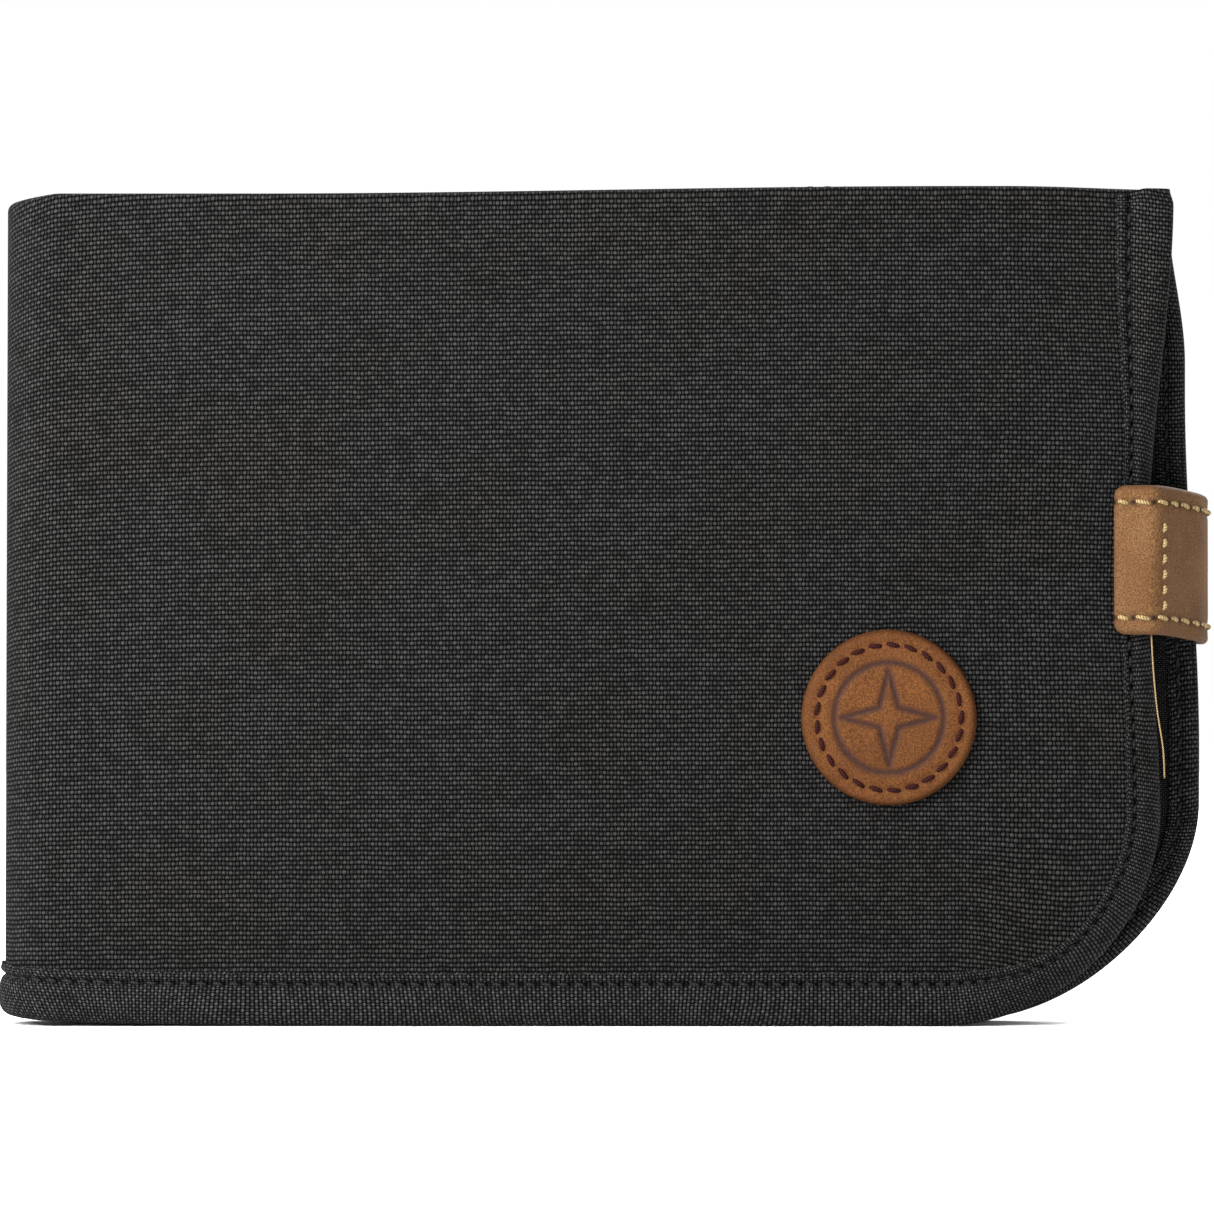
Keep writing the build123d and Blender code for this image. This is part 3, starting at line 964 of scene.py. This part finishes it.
# ---------------------------------------------------------------- the pockets inside
def turned_profile(low, high, face, hem, half, hem_height):
    """A pocket's face up to its mouth and its turned hem down again, at two depths."""
    radius = abs(face - hem) / 2
    crown = high - radius - half
    profile = [(z, face, half) for z in steps(low, crown, 1.6 * MM)]
    for k in range(1, 7):
        turned = math.pi * k / 7
        depth = (face + hem) / 2 + (face - hem) / 2 * math.cos(turned)
        profile.append((crown + radius * math.sin(turned), depth, half))
    profile += [(z, hem, half) for z in reversed(steps(crown - hem_height, crown, 1.6 * MM))]
    return profile


def pocket_sheet(name, side, nodes, profile, low_x, high_x):
    """A pocket's face with its hem, a little wavy between its seams."""

    def row_at(z):
        return [along_at(x) for x in steps(low_x, high_x, 1.6 * MM)]

    def swell_at(along, z):
        across = (nominal_x(along) - low_x) / (high_x - low_x)
        wave = noise.noise(Vector((along * 45, z * 30, profile[0][1] * 900)))
        return 0.10 * MM * wave * math.sin(math.pi * across)

    sheet = profile_sheet(name, profile, row_at, swell_at, side)
    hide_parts(*nodes)
    finish_piece(sheet, "canvas")
    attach(sheet, SIDE_NAME[side])


def mouth_stitches(name, side, low_x, high_x, z, depth):
    """The row of stitches that holds a pocket's hem."""
    pitch = 2.4 * MM
    out = -0.22 * MM * Vector((0, side, 0))
    parts = []
    x = low_x + pitch
    while x < high_x - pitch:
        start = place(side, along_at(x), z, depth)
        end = place(side, along_at(x + pitch * 0.7), z, depth)
        parts.append(stitch_between(start, end, out, 0.17 * MM))
        x += pitch
    thread = joined(name, parts)
    finish_piece(thread, "grey_thread")
    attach(thread, SIDE_NAME[side])


def pocket_gusset():
    """The strip round three sides of the passport pocket, with its seam allowances turned inwards."""
    low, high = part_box("passport_pocket_gusset")
    inner, outer = depths_of("passport_pocket_gusset", BACK)
    allowance = 3.2 * MM
    half = 0.1 * MM
    shallow, deep = inner + 2 * half, outer - 2 * half
    section = [(inset, shallow) for inset in reversed(steps(0.4 * MM, allowance, 0.7 * MM))]
    section += [(0.0, depth) for depth in steps(shallow + 0.3 * MM, deep - 0.3 * MM, 0.6 * MM)]
    section += [(inset, deep) for inset in steps(0.4 * MM, allowance, 0.7 * MM)]
    left, right = low[0] + 2 * half, high[0] - 2 * half
    bottom = low[2] + 2 * half
    route = rounded_route(
        [(left, high[2]), (left, bottom), (right, bottom), (right, high[2])],
        [1.2 * allowance, 1.2 * allowance],
        1.5 * MM,
    )
    outer_rows, inner_rows, uvs = [], [], []
    for x, z, angle, travelled in route:
        out_x, out_z = math.sin(angle), -math.cos(angle)
        rows = ([], [], [])
        across = 0.0
        for k, (inset, depth) in enumerate(section):
            a, b = section[max(0, k - 1)], section[min(len(section) - 1, k + 1)]
            run = math.hypot(b[0] - a[0], b[1] - a[1])
            push_out, push_deep = (b[1] - a[1]) / run * half, (b[0] - a[0]) / run * half
            across += math.hypot(inset - a[0], depth - a[1])
            for row, sign in ((rows[0], 1), (rows[1], -1)):
                reach = sign * push_out - inset
                spot_x, spot_z = x + out_x * reach, z + out_z * reach
                row.append(place(BACK, along_at(spot_x), spot_z, depth + sign * push_deep))
            rows[2].append((travelled, across))
        outer_rows.append(rows[0])
        inner_rows.append(rows[1])
        uvs.append(rows[2])
    gusset = closed_sheet("pocket_gusset_cloth", outer_rows, inner_rows, uvs)
    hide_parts("passport_pocket_gusset")
    finish_piece(gusset, "lining")
    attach(gusset, "back")


def pockets():
    """The passport pocket on the back cover and the card slots on the front cover."""
    low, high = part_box("passport_pocket_face")
    hem_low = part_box("passport_pocket_hem")[0][2]
    face = sum(depths_of("passport_pocket_face", BACK)) / 2
    hem = sum(depths_of("passport_pocket_hem", BACK)) / 2
    profile = turned_profile(low[2], high[2], face, hem, 0.13 * MM, high[2] - hem_low)
    nodes = ["passport_pocket_face", "passport_pocket_hem"]
    pocket_sheet("pocket_face_cloth", BACK, nodes, profile, low[0], high[0])
    seam_z, seam_depth = hem_low + 1 * MM, hem - 0.2 * MM
    mouth_stitches("pocket_mouth_thread", BACK, low[0], high[0], seam_z, seam_depth)
    pocket_gusset()
    number = 1
    while f"card_slot_{number}" in frame["nodes"]:
        node = f"card_slot_{number}"
        low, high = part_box(node)
        inner, outer = depths_of(node, FRONT)
        gap = 0.02 * MM
        half = (outer - inner) / 4 - gap
        profile = turned_profile(low[2], high[2], inner + half + gap, outer - half - gap, half, 5 * MM)
        pocket_sheet(f"card_sleeve_{number}", FRONT, [node], profile, low[0], high[0])
        seam_z, seam_depth = high[2] - 2.2 * MM, inner - 0.05 * MM
        mouth_stitches(f"card_thread_{number}", FRONT, low[0], high[0], seam_z, seam_depth)
        number += 1


# ---------------------------------------------------------------- materials
class Shader:
    """A short way to write a node tree."""

    def __init__(self, name):
        self.material = bpy.data.materials.new(name)
        self.material.use_nodes = True
        self.tree = self.material.node_tree
        self.surface = self.tree.nodes["Principled BSDF"]

    def node(self, kind, **settings):
        made = self.tree.nodes.new(kind)
        for key, value in settings.items():
            setattr(made, key, value)
        return made

    def feed(self, socket, value):
        if hasattr(value, "is_output"):
            self.tree.links.new(value, socket)
        elif value is not None:
            socket.default_value = value

    def sum(self, operation, a, b=None, c=None, clamp=False):
        made = self.node("ShaderNodeMath", operation=operation, use_clamp=clamp)
        for socket, value in zip(made.inputs, (a, b, c)):
            self.feed(socket, value)
        return made.outputs[0]

    def mix(self, factor, a, b, blend="MIX"):
        made = self.node("ShaderNodeMix", data_type="RGBA", blend_type=blend)
        self.feed(made.inputs["Factor"], factor)
        self.feed(made.inputs["A"], a)
        self.feed(made.inputs["B"], b)
        return made.outputs["Result"]

    def noise(self, vector, scale, detail=2.0, roughness=0.5):
        made = self.node("ShaderNodeTexNoise")
        self.feed(made.inputs["Vector"], vector)
        made.inputs["Scale"].default_value = scale
        made.inputs["Detail"].default_value = detail
        made.inputs["Roughness"].default_value = roughness
        return made.outputs["Fac"]

    def ramp(self, factor, stops):
        made = self.node("ShaderNodeValToRGB")
        elements = made.color_ramp.elements
        while len(elements) < len(stops):
            elements.new(0.5)
        for element, (position, colour) in zip(elements, stops):
            element.position = position
            element.color = colour
        self.feed(made.inputs["Fac"], factor)
        return made.outputs["Color"]

    def uv(self):
        return self.node("ShaderNodeUVMap", uv_map="cloth").outputs["UV"]

    def split_uv(self):
        split = self.node("ShaderNodeSeparateXYZ")
        self.feed(split.inputs[0], self.uv())
        return split.outputs[0], split.outputs[1]

    def object_place(self):
        return self.node("ShaderNodeTexCoord").outputs["Object"]

    def attribute(self, name):
        return self.node("ShaderNodeAttribute", attribute_name=name).outputs["Fac"]

    def bump(self, height, distance):
        made = self.node("ShaderNodeBump")
        made.inputs["Strength"].default_value = 1.0
        made.inputs["Distance"].default_value = distance
        self.feed(made.inputs["Height"], height)
        return made.outputs["Normal"]

    def set(self, **values):
        for key, value in values.items():
            self.feed(self.surface.inputs[key.replace("_", " ")], value)


def grey(level, warmth=0.0):
    """A nearly neutral colour, a little warm or cool."""
    return (level * (1 + warmth), level, level * (1 - warmth), 1.0)


def plain_weave(shader, u, v, warp, weft):
    """The height of over-and-under yarns from two cloth coordinates in metres, and a random number
    for each crossing."""
    wobble = shader.noise(shader.uv(), 420.0, 1.0)
    wobble_two = shader.noise(shader.uv(), 310.0, 1.0)
    u = shader.sum("ADD", shader.sum("DIVIDE", u, warp), shader.sum("MULTIPLY", wobble, 0.55))
    v = shader.sum("ADD", shader.sum("DIVIDE", v, weft), shader.sum("MULTIPLY", wobble_two, 0.55))
    row = shader.sum("FLOOR", v)
    pair = shader.sum("DIVIDE", shader.sum("ADD", u, row), 2.0)
    off_float = shader.sum("ABSOLUTE", shader.sum("MULTIPLY_ADD", shader.sum("FRACT", pair), 2.0, -1.0))
    off_row = shader.sum("ABSOLUTE", shader.sum("MULTIPLY_ADD", shader.sum("FRACT", v), 2.0, -1.0))

    def dome(across, half_width, along, half_length):
        """The rounded top of a yarn."""
        a, b = shader.sum("DIVIDE", across, half_width), shader.sum("DIVIDE", along, half_length)
        squares = shader.sum("ADD", shader.sum("MULTIPLY", a, a), shader.sum("MULTIPLY", b, b))
        return shader.sum("SQRT", shader.sum("SUBTRACT", 1.0, squares, clamp=True))

    weft_float = dome(off_row, 0.88, off_float, 0.62)
    warp_rib = dome(shader.sum("SUBTRACT", 1.0, off_float), 0.36, off_row, 0.98)
    height = shader.sum("MAXIMUM", weft_float, shader.sum("MULTIPLY", warp_rib, 0.72))
    crossing = shader.node("ShaderNodeCombineXYZ")
    shader.feed(crossing.inputs[0], shader.sum("FLOOR", pair))
    shader.feed(crossing.inputs[1], row)
    chance = shader.node("ShaderNodeTexWhiteNoise", noise_dimensions="2D")
    shader.feed(chance.inputs["Vector"], crossing.outputs[0])
    return height, chance.outputs["Value"]


def needle_hole_shade(shader, u, v, pitch, line, radius, start=0.0):
    """Painted shade: 1 in the row of small dark spots painted where the stitches' needle holes lie, a row
    at |v| = line.
    """
    along = shader.sum("DIVIDE", shader.sum("SUBTRACT", u, start), pitch)
    along = shader.sum("SUBTRACT", shader.sum("FRACT", along), 0.5)
    along = shader.sum("MULTIPLY", along, pitch / radius)
    aside = shader.sum("DIVIDE", shader.sum("SUBTRACT", shader.sum("ABSOLUTE", v), line), radius)
    squares = shader.sum("ADD", shader.sum("MULTIPLY", along, along), shader.sum("MULTIPLY", aside, aside))
    return shader.sum("EXPONENT", shader.sum("MULTIPLY", squares, -1.0))


def woven(name, warp, weft, tones, drawn=0.0, ribbed=False, hole_shade=None, relief=0.16):
    """Canvas, tape or lining: a plain weave with its own yarn sizes and (dark, middle, light) tones."""
    shader = Shader(name)
    u, v = shader.split_uv()
    rows = v
    if drawn:
        # the cloth is drawn down as it rolls round the spine, most of all at the top
        fall = shader.sum("EXPONENT", shader.sum("DIVIDE", u, -14 * MM))
        tall = shader.sum("MULTIPLY_ADD", v, 0.65 * drawn / HEIGHT, 0.35 * drawn)
        rows = shader.sum("MULTIPLY_ADD", fall, tall, v)
    if ribbed:
        # the tape's floats lie across it. Its rows lean this way and that, and most at the spine
        lean = shader.sum("SUBTRACT", shader.noise(shader.uv(), 30.0, 1.0), 0.5)
        to_spine = shader.sum("SUBTRACT", u, edge_path(FRONT, 5 * MM)[-1][4])
        pulled = shader.sum("EXPONENT", shader.sum("DIVIDE", to_spine, 16 * MM))
        lean = shader.sum("MULTIPLY_ADD", pulled, 0.8, lean)
        height, chance = plain_weave(shader, v, shader.sum("MULTIPLY_ADD", lean, v, u), warp, weft)
    else:
        height, chance = plain_weave(shader, u, rows, warp, weft)
    # painted shade and highlight: each yarn is coloured lighter on its top and darker down between the
    # yarns, from its height
    lit = shader.sum("MULTIPLY", height, shader.sum("MULTIPLY_ADD", chance, 0.42, 0.74), clamp=True)
    dark, middle, light = tones
    cloth = shader.ramp(lit, [(0.08, dark), (0.50, middle), (0.95, light)])
    patches = shader.noise(shader.object_place(), 75.0, 3.0)
    mottle = shader.ramp(patches, [(0.3, grey(0.95, 0.04)), (0.7, grey(1.0, -0.01))])
    colour = shader.mix(1.0, cloth, mottle, blend="MULTIPLY")
    if hole_shade:
        # painted shade: the tape's needle holes are coloured nearly black
        colour = shader.mix(needle_hole_shade(shader, u, v, *hole_shade), colour, grey(0.0003))
    fuzz = shader.noise(shader.object_place(), 6500.0, 2.0)
    relief_height = shader.sum("MULTIPLY_ADD", fuzz, 0.12, height)
    shader.set(
        Base_Color=colour,
        Roughness=shader.sum("MULTIPLY_ADD", height, -0.12, 0.97),
        Normal=shader.bump(relief_height, relief * MM),
        Sheen_Weight=0.01,
        Sheen_Roughness=0.4,
        Specular_IOR_Level=0.02,
    )
    return shader.material


def leather_material(name, low, middle, high, burnished_edge_and_shade, pressed=None, hole_shade=None):
    """Vegetable-tanned leather: mottled tan, fine pores, pressed lines and a burnished edge."""
    shader = Shader(name)
    spot = shader.object_place()
    cloudy = shader.noise(spot, 130.0, 4.0, 0.6)
    fine = shader.noise(spot, 4600.0, 3.0, 0.7)
    body = shader.ramp(cloudy, [(0.3, low), (0.5, middle), (0.72, high)])
    speckle = shader.ramp(fine, [(0.42, (0.40, 0.35, 0.30, 1)), (0.58, (1.12, 1.12, 1.12, 1))])
    grained = shader.mix(0.8, body, speckle, blend="MULTIPLY")
    colour = shader.mix(shader.sum("MULTIPLY", shader.attribute("edge"), 0.6), grained, burnished_edge_and_shade)
    if pressed:
        colour = shader.mix(shader.sum("MULTIPLY", shader.attribute("press"), 0.9), colour, pressed)
    if hole_shade:
        # painted shade: the strap is coloured darker past its first bend, where it turns away from the
        # light
        u, v = shader.split_uv()
        painted_shade_past_bend = shader.sum("DIVIDE", shader.sum("SUBTRACT", u, 4.6 * MM), 1.5 * MM, clamp=True)
        colour = shader.mix(shader.sum("MULTIPLY", painted_shade_past_bend, 0.28), colour, burnished_edge_and_shade)
        # painted shade: the strap's needle holes are coloured dark brown
        colour = shader.mix(needle_hole_shade(shader, u, v, *hole_shade), colour, (0.010, 0.005, 0.003, 1))
    pores = shader.node("ShaderNodeTexVoronoi", feature="DISTANCE_TO_EDGE")
    shader.feed(pores.inputs["Vector"], spot)
    pores.inputs["Scale"].default_value = 1500.0
    grain = shader.sum("MULTIPLY_ADD", shader.sum("MINIMUM", pores.outputs["Distance"], 0.15), 2.0, fine)
    shader.set(
        Base_Color=colour,
        Roughness=shader.sum("MULTIPLY_ADD", fine, 0.2, 0.56),
        Normal=shader.bump(grain, 0.09 * MM),
        Specular_IOR_Level=0.08,
    )
    return shader.material


def thread_material(name, dark, light):
    """A twisted sewing thread, from the stitch's own UV."""
    shader = Shader(name)
    u, v = shader.split_uv()
    lay = shader.sum("MULTIPLY_ADD", u, 2600.0, shader.sum("MULTIPLY", v, 2.0))
    ply = shader.sum("ABSOLUTE", shader.sum("SINE", shader.sum("MULTIPLY", lay, math.pi)))
    fibre = shader.noise(shader.object_place(), 5200.0, 2.0)
    # painted shade: the grooves between the thread's plies are coloured darker
    tone = shader.sum("MULTIPLY", ply, shader.sum("MULTIPLY_ADD", fibre, 0.7, 0.6), clamp=True)
    shader.set(
        Base_Color=shader.mix(tone, dark, light),
        Roughness=shader.sum("MULTIPLY_ADD", fibre, 0.2, 0.6),
        Normal=shader.bump(ply, 0.07 * MM),
        Specular_IOR_Level=0.04,
    )
    return shader.material


def brass_material():
    """Antique brass: brown patina in the low places, rubbed bright on the high ones."""
    shader = Shader("antique_brass")
    spot = shader.object_place()
    patina = shader.noise(spot, 160.0, 3.0, 0.5)
    scratch = shader.noise(spot, 4200.0, 3.0, 0.7)
    brown, middle, bright = (0.13, 0.085, 0.042, 1), (0.21, 0.145, 0.072, 1), (0.30, 0.215, 0.110, 1)
    colour = shader.ramp(patina, [(0.3, brown), (0.55, middle), (0.8, bright)])
    shader.set(
        Base_Color=colour,
        Metallic=1.0,
        Roughness=shader.sum("MULTIPLY_ADD", scratch, 0.2, 0.20),
        Normal=shader.bump(scratch, 0.004 * MM),
    )
    return shader.material


def foam_material():
    """Fine closed-cell foam board."""
    shader = Shader("foam_board")
    cells = shader.node("ShaderNodeTexVoronoi")
    shader.feed(cells.inputs["Vector"], shader.object_place())
    cells.inputs["Scale"].default_value = 2600.0
    shader.set(
        Base_Color=shader.mix(cells.outputs["Distance"], grey(0.03), grey(0.08)),
        Roughness=shader.sum("MULTIPLY_ADD", cells.outputs["Distance"], 0.2, 0.8),
        Normal=shader.bump(cells.outputs["Distance"], 0.05 * MM),
    )
    return shader.material


MATERIALS = {
    "canvas": woven(
        "heavy_canvas",
        0.447 * MM,
        0.59 * MM,
        (grey(0.0010), grey(0.0088, 0.01), grey(0.0280, 0.010)),
        drawn=4.4 * MM,
    ),
    "tape": woven(
        "edge_tape",
        0.40 * MM,
        0.52 * MM,
        (grey(0.0008), grey(0.0105), grey(0.0390)),
        ribbed=True,
        hole_shade=(TAPE_STITCH_PITCH, seam_length(), 0.52 * MM, -TAPE_STITCH_PITCH / 6),
    ),
    "lining": woven(
        "ribbed_lining", 0.30 * MM, 0.26 * MM, (grey(0.001), grey(0.007), grey(0.026)), relief=0.09
    ),
    "patch_leather": leather_material(
        "patch_leather",
        (0.072, 0.0250, 0.0066, 1),
        (0.090, 0.0325, 0.0084, 1),
        (0.110, 0.0420, 0.0110, 1),
        (0.034, 0.0110, 0.0025, 1),
        pressed=(0.022, 0.010, 0.009, 1),
    ),
    "strap_leather": leather_material(
        "strap_leather",
        (0.100, 0.048, 0.0185, 1),
        (0.128, 0.063, 0.0250, 1),
        (0.156, 0.080, 0.0330, 1),
        (0.052, 0.024, 0.0090, 1),
        hole_shade=(STRAP_PITCH, STRAP_SEAM, 0.42 * MM, 1.2 * MM),
    ),
    "pale_thread": thread_material("pale_thread", (0.11, 0.062, 0.024, 1), (0.33, 0.245, 0.120, 1)),
    "burgundy_thread": thread_material(
        "burgundy_thread", (0.004, 0.0012, 0.0012, 1), (0.030, 0.0070, 0.0065, 1)
    ),
    "grey_thread": thread_material("grey_thread", grey(0.002), grey(0.024)),
    "brass": brass_material(),
    "foam": foam_material(),
}


def finish_piece(thing, kind):
    """Gives a piece its material."""
    thing.data.materials.clear()
    thing.data.materials.append(MATERIALS[kind])


def carried_over():
    """The CAD nodes that stay: the metal snap."""
    for node in ("snap_stud", "snap_post", "snap_socket", "snap_spring", "snap_cap"):
        for material_slot in frame["nodes"][node].material_slots:
            material_slot.link = "OBJECT"
            material_slot.material = MATERIALS["brass"]


# ---------------------------------------------------------------- studio and camera
def studio():
    """A pale floor, a white surround and soft lights: front left, front right and behind."""
    scene = bpy.context.scene
    scene.view_settings.view_transform = "Standard"
    world = bpy.data.worlds.new("surround")
    world.use_nodes = True
    world.node_tree.nodes["Background"].inputs["Color"].default_value = (1, 1, 1, 1)
    world.node_tree.nodes["Background"].inputs["Strength"].default_value = 1.0
    scene.world = world

    bpy.ops.mesh.primitive_plane_add(size=2.6)
    floor = bpy.context.object
    floor.name = "floor"
    shader = Shader("pale_floor")
    tone = shader.noise(shader.object_place(), 3.0, 2.0)
    shader.set(Base_Color=shader.mix(tone, grey(0.90), grey(0.92)), Roughness=0.9)
    floor.data.materials.append(shader.material)

    for name, spot, size, power in (
        ("key", (-0.24, -0.26, 0.22), 0.26, 5.0),
        ("fill", (0.7, -1.3, 0.7), 1.0, 1.0),
        ("back_light", (0.5, 0.9, 0.9), 0.8, 26.0),
    ):
        lamp = bpy.data.lights.new(name, "AREA")
        lamp.size = size
        lamp.energy = power
        holder = bpy.data.objects.new(name, lamp)
        holder.location = spot
        aim = Vector((0, 0, HEIGHT / 2)) - Vector(spot)
        holder.rotation_euler = aim.to_track_quat("-Z", "Y").to_euler()
        holder.visible_camera = False
        scene.collection.objects.link(holder)


def camera():
    """Straight on to the front cover, from far away, as wide as the wallet and its strap."""
    scene = bpy.context.scene
    data = bpy.data.cameras.new("camera")
    data.lens = 200
    data.sensor_width = 36
    data.clip_end = 20
    view_width, eye_height = 152.4 * MM, 52.7 * MM
    distance = view_width * data.lens / data.sensor_width
    holder = bpy.data.objects.new("camera", data)
    holder.location = (0, FOLD_Y - TAPE_OUTER - distance, eye_height)
    holder.rotation_euler = (math.pi / 2, 0, 0)
    scene.collection.objects.link(holder)
    scene.camera = holder


camera()
studio()
for side in (BACK, FRONT):
    cover_cloth(side)
    edge_binding(side)
    selvedge(side, "outer", TAPE_WIDTH, TAPE_OUTER - 0.22 * MM)
    selvedge(side, "inner", INNER_TAPE_WIDTH, LINING_OUTER - 1.38 * MM)
    binding_stitches(side, "outer", TAPE_STITCH_INSET, TAPE_OUTER - 0.62 * MM, 1)
    binding_stitches(side, "inner", INNER_STITCH_INSET, LINING_OUTER - 1.25 * MM, -1)
    hem_stitches(side)
leather_patch()
patch_stitches()
strap()
pockets()
carried_over()
